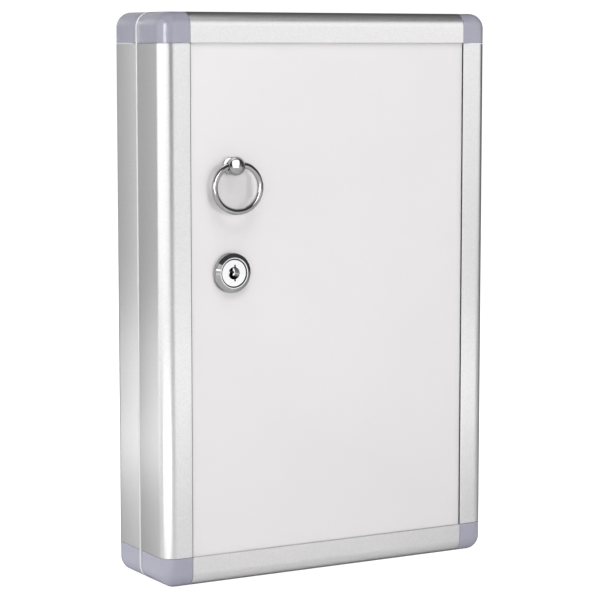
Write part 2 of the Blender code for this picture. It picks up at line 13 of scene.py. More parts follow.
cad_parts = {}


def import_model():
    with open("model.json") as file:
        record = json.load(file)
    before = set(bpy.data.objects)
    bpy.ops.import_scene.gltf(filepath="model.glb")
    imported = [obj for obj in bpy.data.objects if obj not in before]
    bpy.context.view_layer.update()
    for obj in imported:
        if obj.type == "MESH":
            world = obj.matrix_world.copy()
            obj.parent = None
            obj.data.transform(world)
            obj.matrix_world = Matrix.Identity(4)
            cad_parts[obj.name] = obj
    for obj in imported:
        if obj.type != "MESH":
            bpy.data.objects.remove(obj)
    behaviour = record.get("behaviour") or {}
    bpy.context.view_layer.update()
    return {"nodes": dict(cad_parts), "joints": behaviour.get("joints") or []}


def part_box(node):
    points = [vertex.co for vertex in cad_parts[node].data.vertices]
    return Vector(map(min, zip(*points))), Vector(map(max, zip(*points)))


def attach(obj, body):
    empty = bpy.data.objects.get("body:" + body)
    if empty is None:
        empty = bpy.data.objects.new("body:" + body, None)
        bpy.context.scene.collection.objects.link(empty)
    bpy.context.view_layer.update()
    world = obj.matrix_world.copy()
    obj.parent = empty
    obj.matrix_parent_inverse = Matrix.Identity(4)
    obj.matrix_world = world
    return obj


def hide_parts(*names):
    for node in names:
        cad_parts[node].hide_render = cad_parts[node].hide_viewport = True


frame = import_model()
MM = 0.001
JOINT_LINE = 0.22 * MM
SHARP = 32

# ---- Places and sizes, from the frame ---------------------------------------------------
JOINTS = {joint["name"]: joint for joint in frame["joints"]}
DOOR_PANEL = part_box("door_panel")
DOOR_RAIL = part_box("door_left_rail")
CASE_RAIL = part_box("case_left_rail")
SIDE_X = -DOOR_RAIL[0].x
TOP_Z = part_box("door_top_rail")[1].z
FACE_WIDTH = DOOR_RAIL[1].x - DOOR_RAIL[0].x
HALF_DEPTH = DOOR_RAIL[1].y - DOOR_RAIL[0].y
DOOR_EDGE_Y = DOOR_RAIL[1].y
CASE_EDGE_Y = CASE_RAIL[0].y
PANEL_FRONT_Y = DOOR_PANEL[0].y
LOCK_AXIS = Vector(JOINTS["lock_turn"]["pos_m"])
BALL_CENTRE = Vector(JOINTS["ring_swing"]["pos_m"])
PULL_AXIS = Vector((BALL_CENTRE.x, PANEL_FRONT_Y, BALL_CENTRE.z))
HINGE_AXIS = Vector(JOINTS["door_hinge"]["pos_m"])

# Frame section: u runs inward from the outer side, v from the parting edge to the outer face
EDGE_RADIUS = 7.5 * MM
EDGE_CHAMFER = 0.5 * MM
WALL = 1.2 * MM
LIP_V = 1.3 * MM
LIP_WIDTH = 9.2 * MM
CHAMBER_V = 17.5 * MM
CHAMBER_WIDTH = 11.7 * MM
SLOT_V = (27.0 * MM, 29.0 * MM)
REBATE_V = 26.1 * MM
CORNER_RADIUS = 8.0 * MM
CORNER_WALL = 2.0 * MM

ROWS = 5
HOOKS = 8
HOOK_PITCH = 21.0 * MM

INWARD = {"left": (1, 0, 0), "right": (-1, 0, 0), "top": (0, 0, -1), "bottom": (0, 0, 1)}
HALVES = {"door": (DOOR_EDGE_Y, -1), "case": (CASE_EDGE_Y, 1)}
TO_FRONT = Matrix.Rotation(pi / 2, 4, "X")
TO_SIDE = Matrix.Rotation(pi / 2, 4, "Y")


# ---- Materials --------------------------------------------------------------------------

class Finish:
    """A Principled material with a few procedural layers."""

    def __init__(self, name, metallic=0.0, roughness=0.5, **constants):
        self.material = bpy.data.materials.new(name)
        self.material.use_nodes = True
        self.tree = self.material.node_tree
        self.shader = self.tree.nodes["Principled BSDF"]
        self.shader.inputs["Metallic"].default_value = metallic
        self.shader.inputs["Roughness"].default_value = roughness
        for socket, value in constants.items():
            self.shader.inputs[socket.replace("_", " ")].default_value = value
        self.coordinates = self.tree.nodes.new("ShaderNodeTexCoord").outputs["Object"]
        self.height = None

    def node(self, kind, **inputs):
        made = self.tree.nodes.new(kind)
        for socket, value in inputs.items():
            target = made.inputs[socket.replace("_", " ")]
            if isinstance(value, bpy.types.NodeSocket):
                self.tree.links.new(value, target)
            else:
                target.default_value = value
        return made

    def noise(self, per_metre, detail=2.0, roughness=0.5):
        """Noise with its own number of cells per metre along each axis."""
        mapping = self.node("ShaderNodeMapping", Vector=self.coordinates, Scale=per_metre)
        made = self.node("ShaderNodeTexNoise", Vector=mapping.outputs["Vector"], Scale=1.0, Detail=detail,
                         Roughness=roughness)
        return made.outputs["Fac"]

    def between(self, factor, low, high):
        """Spreads the middle of a noise's range over low to high."""
        made = self.node("ShaderNodeMapRange", Value=factor, From_Min=0.3, From_Max=0.7, To_Min=low,
                         To_Max=high)
        return made.outputs["Result"]

    def colour(self, factor, low, high):
        share = self.between(factor, 0.0, 1.0)
        made = self.tree.nodes.new("ShaderNodeMix")
        made.data_type = "RGBA"
        self.tree.links.new(share, made.inputs["Factor"])
        for socket, value in (("A", low), ("B", high)):
            target = next(s for s in made.inputs if s.name == socket and s.type == "RGBA")
            target.default_value = (*value, 1.0)
        result = next(s for s in made.outputs if s.type == "RGBA")
        self.tree.links.new(result, self.shader.inputs["Base Color"])

    def set_roughness(self, factor, low, high):
        self.tree.links.new(self.between(factor, low, high), self.shader.inputs["Roughness"])

    def bump(self, factor, depth, strength=1.0):
        """Adds surface relief of that depth in metres."""
        made = self.node("ShaderNodeBump", Height=factor, Distance=depth, Strength=strength)
        if self.height:
            self.tree.links.new(self.height, made.inputs["Normal"])
        self.height = made.outputs["Normal"]
        self.tree.links.new(self.height, self.shader.inputs["Normal"])


def anodised(name, along):
    """Satin anodised aluminium: a fine grain, and the extrusion's faint lines along one axis."""
    made = Finish(name, metallic=1.0, roughness=0.32, Specular_Tint=(0.25, 0.25, 0.25, 1))
    fine = [3200.0] * 3
    fine[along] = 60.0
    lines = made.noise(fine, 3.0, 0.6)
    grain = made.noise((1300.0,) * 3, 3.0, 0.6)
    made.colour(grain, (0.800, 0.792, 0.800), (0.885, 0.876, 0.884))
    made.set_roughness(lines, 0.31, 0.36)
    made.bump(lines, 0.002 * MM, 0.4)
    made.bump(made.noise((5200.0,) * 3, 2.0), 0.003 * MM, 0.4)
    return made.material


def moulded_plastic():
    """Lavender grey moulded plastic, glossy, with a very faint texture."""
    made = Finish("corner_plastic", roughness=0.1, IOR=1.6, Subsurface_Weight=0.08, Subsurface_Scale=0.002)
    made.shader.inputs["Subsurface Radius"].default_value = (0.6, 0.6, 0.8)
    made.colour(made.noise((70.0,) * 3, 3.0), (0.315, 0.312, 0.382), (0.345, 0.342, 0.412))
    made.set_roughness(made.noise((900.0,) * 3, 2.0), 0.08, 0.12)
    made.bump(made.noise((3800.0,) * 3, 2.0), 0.001 * MM, 0.5)
    return made.material


def coating(name, low, high, metallic=0.0):
    """Stoved satin paint on sheet: faint orange peel and slow colour change."""
    made = Finish(name, metallic=metallic, roughness=0.4, IOR=1.5)
    made.colour(made.noise((11.0,) * 3, 2.0), low, high)
    made.set_roughness(made.noise((260.0,) * 3, 2.0), 0.36, 0.44)
    made.bump(made.noise((780.0,) * 3, 1.0), 0.006 * MM, 0.5)
    made.bump(made.noise((5200.0,) * 3, 2.0), 0.002 * MM, 0.4)
    return made.material


def chrome():
    """Polished chrome plate, with the faint waviness and haze of plated castings."""
    made = Finish("chrome", metallic=1.0, roughness=0.05, Specular_Tint=(0.25, 0.25, 0.26, 1))
    tint = (0.52, 0.52, 0.525)
    made.colour(made.noise((420.0,) * 3, 3.0), tint, tuple(value * 1.05 for value in tint))
    made.set_roughness(made.noise((650.0,) * 3, 4.0, 0.6), 0.03, 0.09)
    made.bump(made.noise((210.0,) * 3, 2.0), 0.010 * MM, 0.3)
    return made.material


def zinc_plate():
    """Bright zinc plate on steel: cloudy, slightly blue and warm by turns."""
    made = Finish("zinc_plate", metallic=1.0, roughness=0.3)
    made.colour(made.noise((120.0,) * 3, 4.0, 0.6), (0.50, 0.51, 0.53), (0.66, 0.66, 0.65))
    made.set_roughness(made.noise((1400.0,) * 3, 4.0, 0.7), 0.24, 0.42)
    made.bump(made.noise((2400.0,) * 3, 3.0), 0.008 * MM, 0.5)
    return made.material


def label_plastic():
    made = Finish("label_plastic", roughness=0.5)
    made.colour(made.noise((60.0,) * 3, 3.0), (0.88, 0.88, 0.87), (0.93, 0.93, 0.92))
    made.set_roughness(made.noise((900.0,) * 3), 0.42, 0.55)
    made.bump(made.noise((3000.0,) * 3), 0.008 * MM, 0.4)
    return made.material


def ink():
    made = Finish("index_ink", roughness=0.5)
    made.colour(made.noise((2500.0,) * 3, 3.0), (0.020, 0.021, 0.024), (0.055, 0.056, 0.060))
    made.set_roughness(made.noise((900.0,) * 3), 0.4, 0.6)
    return made.material


def rubber():
    made = Finish("rubber", roughness=0.75)
    made.colour(made.noise((800.0,) * 3, 4.0), (0.018, 0.018, 0.018), (0.045, 0.045, 0.044))
    made.set_roughness(made.noise((600.0,) * 3), 0.65, 0.85)
    made.bump(made.noise((1800.0,) * 3, 3.0), 0.03 * MM, 0.6)
    return made.material


def brass():
    made = Finish("wafer_brass", metallic=1.0, roughness=0.35)
    made.colour(made.noise((900.0,) * 3, 3.0), (0.30, 0.25, 0.16), (0.40, 0.34, 0.22))
    made.set_roughness(made.noise((2000.0,) * 3), 0.25, 0.45)
    return made.material


LOOKS = {
    "upright": (anodised("anodised_upright", 2), "anodised_aluminium"),
    "level": (anodised("anodised_level", 0), "anodised_aluminium"),
    "plastic": (moulded_plastic(), "corner_plastic"),
    "door": (coating("door_coating", (0.800, 0.780, 0.786), (0.820, 0.800, 0.806), metallic=0.2),
             "door_coating"),
    "back": (coating("back_coating", (0.55, 0.55, 0.56), (0.60, 0.60, 0.60)), "back_coating"),
    "chrome": (chrome(), "chrome"),
    "zinc": (zinc_plate(), "zinc_steel"),
    "label": (label_plastic(), "label_plastic"),
    "ink": (ink(), "rubber"),
    "rubber": (rubber(), "rubber"),
    "brass": (brass(), "zinc_steel"),
}


# ---- Meshes -----------------------------------------------------------------------------

def arc(centre, radius, start, end, count):
    """Points along an arc, angles in degrees."""
    angles = [radians(start + (end - start) * i / count) for i in range(count + 1)]
    return [(centre[0] + radius * cos(a), centre[1] + radius * sin(a)) for a in angles]


def mesh_from(shape, name):
    bmesh.ops.remove_doubles(shape, verts=shape.verts, dist=0.0000005)
    bmesh.ops.recalc_face_normals(shape, faces=shape.faces)
    mesh = bpy.data.meshes.new(name)
    shape.to_mesh(mesh)
    shape.free()
    return mesh


def place(name, mesh, at=(0, 0, 0), turn=None):
    obj = bpy.data.objects.new(name, mesh)
    bpy.context.scene.collection.objects.link(obj)
    obj.matrix_world = Matrix.Translation(Vector(at)) @ (turn or Matrix())
    return obj


def axes(x_axis, y_axis):
    x_axis, y_axis = Vector(x_axis), Vector(y_axis)
    return Matrix((x_axis, y_axis, x_axis.cross(y_axis))).transposed().to_4x4()


RING_AXIS = -Vector(JOINTS["ring_swing"]["axis"])
RING_TURN = axes(RING_AXIS, Vector((0, 0, 1)).cross(RING_AXIS).normalized())


def box(name, low, high, at=(0, 0, 0), rounding=0.0):
    shape = bmesh.new()
    bmesh.ops.create_cube(shape, size=1.0)
    for vert in shape.verts:
        vert.co = Vector((low[k] + high[k]) / 2 + vert.co[k] * (high[k] - low[k]) for k in range(3))
    if rounding:
        bmesh.ops.bevel(shape, geom=shape.edges[:], offset=rounding, segments=2, profile=0.5, affect="EDGES")
    return place(name, mesh_from(shape, name), at)


def rod(name, radius, length, at, turn=None, sides=48):
    shape = bmesh.new()
    bmesh.ops.create_cone(shape, cap_ends=True, segments=sides, radius1=radius, radius2=radius, depth=length)
    return place(name, mesh_from(shape, name), at, turn)


def prism(name, loop, length, at, turn):
    """A flat outline carried along its third axis, centred."""
    shape = bmesh.new()
    ends = [[shape.verts.new((x, y, z)) for x, y in loop] for z in (-length / 2, length / 2)]
    count = len(loop)
    for i in range(count):
        j = (i + 1) % count
        shape.faces.new((ends[0][i], ends[0][j], ends[1][j], ends[1][i]))
    for end in ends:
        shape.faces.new(end)
    return place(name, mesh_from(shape, name), at, turn)


def turned(name, profile, at, turn=TO_FRONT, steps=96, ring=False):
    """A turned piece from (radius, height) points in millimetres. A ring's profile closes on itself."""
    shape = bmesh.new()
    rows = []
    for r, a in profile:
        if r == 0:
            rows.append([shape.verts.new((0, 0, a * MM))] * steps)
            continue
        angles = [2 * pi * i / steps for i in range(steps)]
        rows.append([shape.verts.new((r * MM * cos(t), r * MM * sin(t), a * MM)) for t in angles])
    pairs = list(zip(rows, rows[1:])) + ([(rows[-1], rows[0])] if ring else [])
    for one, two in pairs:
        for i in range(steps):
            j = (i + 1) % steps
            corners = list(dict.fromkeys((one[i], one[j], two[j], two[i])))
            if len(corners) > 2:
                shape.faces.new(corners)
    return place(name, mesh_from(shape, name), at, turn)


def tube(name, points, radius, at, sides, closed=False):
    """A round wire through points, as a mesh."""
    curve = bpy.data.curves.new(name, "CURVE")
    curve.dimensions = "3D"
    curve.bevel_depth = radius
    curve.bevel_resolution = sides
    curve.use_fill_caps = not closed
    spline = curve.splines.new("POLY")
    spline.points.add(len(points) - 1)
    for point, spot in zip(spline.points, points):
        point.co = (*spot, 1)
    spline.use_cyclic_u = closed
    return to_mesh(place(name, curve, at))


def to_mesh(obj):
    """Turns a curve or text object, or a mesh with modifiers, into a plain mesh in the same place."""
    graph = bpy.context.evaluated_depsgraph_get()
    mesh = bpy.data.meshes.new_from_object(obj.evaluated_get(graph))
    shape = bmesh.new()
    shape.from_mesh(mesh)
    name, spot = obj.name, obj.matrix_world.copy()
    bpy.data.objects.remove(obj)
    made = place(name, mesh_from(shape, name))
    made.matrix_world = spot
    return made


def carve(obj, tool, operation="DIFFERENCE"):
    """Cuts, or joins, one mesh with another and keeps only the result."""
    step = obj.modifiers.new("Carve", "BOOLEAN")
    step.operation = operation
    step.solver = "EXACT"
    step.object = tool
    bpy.context.view_layer.update()
    graph = bpy.context.evaluated_depsgraph_get()
    mesh = bpy.data.meshes.new_from_object(obj.evaluated_get(graph))
    obj.modifiers.clear()
    obj.data = mesh
    bpy.data.objects.remove(tool)


def join(name, pieces):
    """One object from several meshes."""
    shape = bmesh.new()
    for piece in pieces:
        mesh = piece.data.copy()
        mesh.transform(piece.matrix_world)
        shape.from_mesh(mesh)
        bpy.data.meshes.remove(mesh)
        bpy.data.objects.remove(piece)
    mesh = bpy.data.meshes.new(name)
    shape.to_mesh(mesh)
    shape.free()
    return place(name, mesh)


def coat(obj, material, smooth):
    """Material, and shading that is smooth across edges up to an angle in degrees."""
    obj.data.materials.clear()
    obj.data.materials.append(material)
    obj.data.shade_smooth()
    obj.data.set_sharp_from_angle(angle=radians(smooth))


def dress(obj, look, body, *nodes, smooth=SHARP):
    """Gives a piece its material, smooth shading and body, and hides the CAD nodes that it stands for."""
    made, slot = LOOKS[look]
    coat(obj, made, smooth)
    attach(obj, body)
    if nodes:
        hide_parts(*nodes)


def keep(node, look):
    """A CAD node that stays, with a better material."""
    obj = frame["nodes"][node]
    coat(obj, LOOKS[look][0], SHARP)


# ---- The two frames ---------------------------------------------------------------------

def rail_section():
    bend = (EDGE_RADIUS, HALF_DEPTH - EDGE_RADIUS)
    return [
        *arc((EDGE_CHAMFER, EDGE_CHAMFER), EDGE_CHAMFER, 270, 180, 4),
        *arc(bend, EDGE_RADIUS, 180, 90, 24),
        (FACE_WIDTH - 0.2 * MM, HALF_DEPTH), (FACE_WIDTH, HALF_DEPTH - 0.2 * MM),
        (FACE_WIDTH, SLOT_V[1]), (CHAMBER_WIDTH, SLOT_V[1]), (CHAMBER_WIDTH, SLOT_V[0]),
        (FACE_WIDTH, SLOT_V[0]), (FACE_WIDTH, REBATE_V), (CHAMBER_WIDTH, REBATE_V),
        (CHAMBER_WIDTH, CHAMBER_V), (WALL, CHAMBER_V), (WALL, LIP_V + WALL), (LIP_WIDTH, LIP_V + WALL),
        (LIP_WIDTH, LIP_V), (WALL, LIP_V), (WALL, 0),
    ]


def rail(half, side):
    edge_y, out = HALVES[half]
    inward = Vector(INWARD[side])
    reach, other = (SIDE_X, TOP_Z) if inward.x else (TOP_Z, SIDE_X)
    length = 2 * (other - FACE_WIDTH - JOINT_LINE)
    at = -inward * reach + Vector((0, edge_y, 0))
    made = prism(f"{half}_{side}_rail_skin", rail_section(), length, at, axes(inward, (0, out, 0)))
    if side == "right":
        for end in ("upper", "lower"):
            carve(made, hinge_notch(end))
            for letter in "ab":
                carve(made, screw_bore(f"{end}_hinge_{half}_screw_{letter}"))
    look = "upright" if inward.x else "level"
    dress(made, look, half, f"{half}_{side}_rail")


def hinge_notch(end):
    """The space round a hinge's knuckles."""
    low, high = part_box(f"{end}_hinge_pin")
    across, deep, spare = 2.6 * MM, 3.4 * MM, 0.5 * MM
    reach = Vector((across, deep, (high.z - low.z) / 2 + spare))
    centre = Vector((HINGE_AXIS.x, HINGE_AXIS.y, (low.z + high.z) / 2))
    return box("notch", -reach, reach, centre)


def screw_bore(node):
    low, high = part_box(node)
    radius, spare = 1.65 * MM, 1.0 * MM
    return rod("bore", radius, high.y - low.y + 2 * spare, (low + high) / 2, TO_FRONT, 24)


def corner_block(name, at, turn):
    """The corner piece's outside: rounded at its outer corner and round its face."""
    shape = bmesh.new()
    bmesh.ops.create_cube(shape, size=1.0)
    size = Vector((FACE_WIDTH, FACE_WIDTH, HALF_DEPTH))
    for vert in shape.verts:
        vert.co = Vector((vert.co[k] + 0.5) * size[k] for k in range(3))
    near = 0.01 * MM

    def outer(edge):
        return all(v.co.x < near and v.co.y < near for v in edge.verts)

    bmesh.ops.bevel(shape, geom=[e for e in shape.edges if outer(e)], offset=CORNER_RADIUS, segments=16,
                    profile=0.5, affect="EDGES")

    def level_edges(height):
        found = []
        for edge in shape.edges:
            middle = (edge.verts[0].co + edge.verts[1].co) / 2
            level = all(abs(v.co.z - height) < near for v in edge.verts)
            if level and middle.x < size.x - near and middle.y < size.y - near:
                found.append(edge)
        return found

    bmesh.ops.bevel(shape, geom=level_edges(size.z), offset=EDGE_RADIUS, segments=20, profile=0.5,
                    affect="EDGES")
    bmesh.ops.bevel(shape, geom=level_edges(0), offset=EDGE_CHAMFER, segments=3, profile=0.5, affect="EDGES")
    return place(name, mesh_from(shape, name), at, turn)


def corner(half, side, end):
    edge_y, out = HALVES[half]
    x_axis, y_axis = Vector(INWARD[side]), Vector(INWARD[end])
    if x_axis.cross(y_axis).y * out < 0:
        x_axis, y_axis = y_axis, x_axis
    at = Vector((-INWARD[side][0] * SIDE_X, edge_y, -INWARD[end][2] * TOP_Z))
    turn = axes(x_axis, y_axis)
    name = f"{half}_{end}_{side}_corner"
    made = corner_block(name + "_skin", at, turn)
    bend = (CORNER_RADIUS, CORNER_RADIUS)
    spare = 1 * MM
    far = FACE_WIDTH + spare
    loop = [*arc(bend, CORNER_RADIUS - CORNER_WALL, 270, 180, 12), (CORNER_WALL, far), (far, far),
            (far, CORNER_WALL)]
    pocket_depth = CHAMBER_V - 1 * MM
    pocket = prism("pocket", loop, pocket_depth + spare, at, turn)
    pocket.matrix_world = pocket.matrix_world @ Matrix.Translation((0, 0, (pocket_depth - spare) / 2))
    carve(made, pocket)
    slot = box("slot", (CHAMBER_WIDTH, CHAMBER_WIDTH, SLOT_V[0]), (far, far, SLOT_V[1]))
    slot.matrix_world = made.matrix_world.copy()
    carve(made, slot)
    dress(made, "plastic", half, name)


def painted_shade_strips():
    """Dark strips in the slots of the door's upright rails, just proud of their inner edges: painted shade for
    the shadowed gap between the panel and the rails.
    """
    proud, inside = 0.25 * MM, 0.3 * MM
    front, rear = DOOR_RAIL[0].y + 0.2 * MM, PANEL_FRONT_Y
    across, up = SIDE_X - FACE_WIDTH, TOP_Z - FACE_WIDTH
    strips = []
    for sign in (-1, 1):
        near, far = sorted((sign * (across - proud), sign * (across + inside)))
        strips.append(box("shade_strip", (near, front, -up), (far, rear, up)))
    dress(join("painted_shade_strips", strips), "rubber", "door")


def painted_highlight_strip():
    """A pale strip along the case's front edge that the closed door meets, on three sides: a painted highlight
    for the bright line along the parting gap.
    """
    low, high, thick = CASE_EDGE_Y - 0.9 * MM, CASE_EDGE_Y + 0.6 * MM, 1.0 * MM
    end = SIDE_X - 2 * CORNER_RADIUS

    def edge(inset):
        x, z, bend = SIDE_X - inset, TOP_Z - inset, CORNER_RADIUS - inset
        bottom = arc((-x + bend, -z + bend), bend, 270, 180, 12)
        top = arc((-x + bend, z - bend), bend, 180, 90, 12)
        return [(end, -z), *bottom, *top, (end, z)]

    loop = edge(0) + edge(thick)[::-1]
    middle = (0, (low + high) / 2, 0)
    dress(prism("painted_highlight_strip", loop, high - low, middle, TO_FRONT), "label", "case")


def frames():
    for half in HALVES:
        for side in INWARD:
            rail(half, side)
        for side in ("left", "right"):
            for end in ("top", "bottom"):
                corner(half, side, end)
    painted_shade_strips()
    painted_highlight_strip()


# ---- Lock -------------------------------------------------------------------------------

def thread(radius, start, end, pitch=1.0, depth=0.35):
    """Profile points of a thread's ridges, down the outside."""
    count = int((start - end) / pitch)
    points = []
    for i in range(count):
        a = start - i * pitch
        points += [(radius - depth, a - 0.1), (radius, a - 0.4), (radius, a - 0.6), (radius - depth, a - 0.9)]
    return points


def lock_housing():
    low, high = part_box("lock_housing")
    radius = (high.x - low.x) / 2 / MM
    height, end = (PANEL_FRONT_Y - low.y) / MM, -(high.y - PANEL_FRONT_Y) / MM
    body, bore, face, rim, foot = 9.2, 7.5, 8.2, 2.7, 0.3
    slope = (height - rim) / (radius - face)

    def on_bevel(r):
        return r, height - slope * (r - face)

    profile = [
        (bore, height - 0.3), (bore + 0.03, height - 0.12), (bore + 0.11, height - 0.03),
        (bore + 0.22, height), (bore + 0.24, height), (face - 0.12, height), (face - 0.10, height),
        (face + 0.02, height - 0.03), on_bevel(face + 0.14), on_bevel(face + 0.16),
        on_bevel(radius - 0.26), on_bevel(radius - 0.24),
        (radius - 0.10, rim - 0.06), (radius - 0.02, rim - 0.24), (radius, rim - 0.44), (radius, rim - 0.46),
        (radius, foot + 0.15), (radius - 0.15, foot), (body, foot),
        *thread(body, foot - 0.2, end + 0.4), (body - 0.35, end + 0.2), (body - 0.6, end), (bore, end),
    ]
    made = turned("lock_housing_skin", profile, LOCK_AXIS, steps=128, ring=True)
    flat = 8.2 * MM
    for vert in made.data.vertices:
        if vert.co.z < 0:
            vert.co.x = max(-flat, min(flat, vert.co.x))
    dress(made, "chrome", "door", "lock_housing")


def keyway_outline():
    """The keyway's upright slot, with the wards' steps down both sides."""
    right = [(1.0, 4.35), (1.0, 3.1), (0.7, 2.8), (0.7, 0.9), (1.4, 0.6), (1.4, -0.2), (0.6, -0.5),
             (0.6, -1.4), (2.1, -1.7), (2.1, -2.4), (1.0, -2.7), (1.0, -4.35)]
    left = [(0.1, -4.35), (0.1, -3.2), (-0.9, -2.9), (-1.6, -2.2), (-1.6, -0.6), (-1.2, -0.3), (-1.2, 0.6),
            (-1.6, 0.9), (-1.6, 2.2), (-0.8, 2.8), (0.1, 3.3), (0.1, 4.35)]
    return [(x * MM, y * MM) for x, y in right + left]


def lock_plug():
    low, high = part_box("lock_plug")
    radius = (high.x - low.x) / 2 / MM
    face = (PANEL_FRONT_Y - low.y) / MM
    shoulder, tail_end = -32.0, -(high.y - PANEL_FRONT_Y) / MM
    recess, depth, edge = 3.2, 2.6, 0.25
    slot_depth, slot_proud = 20.0, 4.0
    tail_half, bore_radius, bore_depth, bore_proud = 3.5, 2.3, 9.5, 3.5
    profile = [
        (0, face - depth), (recess - 0.02, face - depth), (recess, face - depth + 0.02), (recess, face - 0.1),
        (recess + 0.1, face), (recess + 0.12, face), (radius - edge - 0.02, face), (radius - edge, face),
        *[(radius - edge + edge * sin(t), face - edge + edge * cos(t)) for t in (0.4, 0.8, 1.2, pi / 2)],
        (radius, face - edge - 0.02), (radius, shoulder), (0, shoulder),
    ]
    made = turned("lock_plug_skin", profile, LOCK_AXIS, steps=112)
    slot_middle = LOCK_AXIS + Vector((0, (slot_depth - slot_proud) / 2 * MM, 0))
    slot_length = (slot_depth + slot_proud) * MM
    carve(made, prism("keyway", keyway_outline(), slot_length, slot_middle, axes((1, 0, 0), (0, 0, 1))))
    half = tail_half * MM
    tail = box("tail", (-half, -(shoulder + 1) * MM, -half), (half, -tail_end * MM, half), LOCK_AXIS)
    carve(made, tail, "UNION")
    bore_middle = LOCK_AXIS + Vector((0, (-tail_end - (bore_depth - bore_proud) / 2) * MM, 0))
    carve(made, rod("bore", bore_radius * MM, (bore_depth + bore_proud) * MM, bore_middle, TO_FRONT, 32))
    dress(made, "chrome", "lock_core", "lock_plug", smooth=28)


def wafers():
    """The ends of the wafers that show in the keyway, staggered left and right, in millimetres."""
    first, pitch, stagger, aside, half, thick, bottom, top = 4.4, 2.6, 0.22, 0.62, 0.5, 1.0, -2.6, 2.4
    sides = []
    for i in range(5):
        y = first + pitch * i
        for side in (-1, 1):
            x = side * aside + stagger * (-1) ** i
            low, high = Vector((x - half, y, bottom)) * MM, Vector((x + half, y + thick, top)) * MM
            sides.append(box("wafer", low, high, LOCK_AXIS, 0.08 * MM))
    dress(join("lock_wafers", sides), "brass", "lock_core")


def cam_screw():
    """A pan-head screw with a cross recess."""
    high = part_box("cam_screw")[1]
    head = 2.0
    seat = head - (high.y - PANEL_FRONT_Y) / MM
    profile = [(0, seat + 7.5), (1.6, seat + 7.5), *thread(1.9, seat + 7.2, seat + 0.2, 0.7, 0.25),
               (1.9, seat), (3.8, seat), (3.8, seat - 0.9), (3.7, seat - 1.3), (3.3, seat - 1.75),
               (2.6, seat - head), (0, seat - head)]
    made = turned("cam_screw_skin", profile, LOCK_AXIS, steps=48)
    at = LOCK_AXIS + Vector((0, (head - seat) * MM, 0))
    arm, half_width, depth = 2.2, 0.5, 1.1
    for across, up in ((arm, half_width), (half_width, arm)):
        reach = Vector((across, depth, up)) * MM
        carve(made, box("recess", -reach, reach, at))
    dress(made, "zinc", "lock_core", "cam_screw")


# ---- Ring pull --------------------------------------------------------------------------

def pull_knob():
    """A flattened ball on a neck and a round foot, bored across for the ring."""
    ball, half_depth, neck, foot = 4.9, 4.1, 3.0, 4.45
    out = (PANEL_FRONT_Y - BALL_CENTRE.y) / MM
    joint = degrees(acos(neck / ball))
    points = [(ball * r, out + half_depth * a) for r, a in arc((0, 0), 1, 90, -joint, 40)]
    profile = [(0, out + half_depth), *points[1:], (neck, 2.2), (3.08, 1.9), (3.3, 1.65), (3.7, 1.48),
               (4.1, 1.36), (4.33, 1.18), (foot, 0.92), (foot, 0.5), (foot - 0.15, 0.3), (0, 0.3)]
    made = turned("pull_knob_skin", profile, PULL_AXIS)
    ring_bore, screw_bore_radius, screw_depth = 2.0 * MM, 1.9 * MM, 4.3 * MM
    carve(made, rod("bore", ring_bore, 15 * MM, BALL_CENTRE, RING_TURN @ TO_SIDE))
    carve(made, rod("thread", screw_bore_radius, 2 * screw_depth, PULL_AXIS, TO_FRONT, 32))
    dress(made, "chrome", "door", "pull_knob", smooth=28)


def pull_ring():
    """The wire ring: round, straight where it passes through the ball, with a bend at each side."""
    radius, chord, wire, bend = 12.5, 11.2, 1.6, 36
    corner_x = sqrt(radius ** 2 - chord ** 2)
    start, knee = Vector((corner_x - 1.3, 0)), Vector((corner_x, 0))
    end = Vector(arc((0, -chord), radius, 90 - bend, 0, 1)[0])
    right = [start * (1 - t) ** 2 + knee * 2 * t * (1 - t) + end * t ** 2 for t in (i / 8 for i in range(8))]
    left = [Vector((-p.x, p.y)) for p in reversed(right)]
    path = [(0, 0), *right, *arc((0, -chord), radius, 90 - bend, bend - 270, 96), *left]
    points = [RING_TURN @ Vector((x, 0, z)) * MM for x, z in path]
    made = tube("pull_ring_skin", points, wire * MM, BALL_CENTRE, 10, closed=True)
    dress(made, "chrome", "ring", "pull_ring", smooth=60)


# ---- Inside -----------------------------------------------------------------------------

def hook(x, root, out, z):
    """A wire hook that turns up at its end, with a collar at its root."""
    radius, bend, tip = 1.1 * MM, 3.0 * MM, 2.5 * MM
    turn = arc((out + bend, z + bend), bend, 270, 180, 8)
    points = [(x, root, z), (x, (root + out + bend) / 2, z), *((x, y, up) for y, up in turn)]
    points.append((x, out, z + bend + tip))
    wire = tube("hook", points, radius, (0, 0, 0), 4)
    collar = rod("collar", radius * 1.7, 0.6 * MM, (x, root - 1.4 * MM, z), TO_FRONT, 24)
    return [wire, collar]


def racks():
    sheet, hook_up, rivet_up, rivet_in = 1.0 * MM, 6.0 * MM, 3.5 * MM, 3.4 * MM
    rivet = [(0, 1.0), (0.8, 0.93), (1.5, 0.65), (2.0, 0.0), (0, 0.0)]
    for row in range(1, ROWS + 1):
        node = f"hook_rack_{row}"
        low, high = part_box(node)
        front = high.y - sheet
        pieces = [box("strip", (low.x, front, low.z), (high.x, high.y, high.z), rounding=0.3 * MM)]
        for i in range(HOOKS):
            x = (i - (HOOKS - 1) / 2) * HOOK_PITCH
            pieces += hook(x, high.y - sheet / 2, low.y + 1.1 * MM, low.z + hook_up)
        dress(join(f"{node}_skin", pieces), "zinc", "case", node)
        heads = [turned("rivet", rivet, (x, front, low.z + rivet_up), steps=24)
                 for x in (low.x + rivet_in, high.x - rivet_in)]
        dress(join(f"rack_rivets_{row}", heads), "zinc", "case")
        keep(f"index_strip_{row}", "label")
        index_numbers(row)


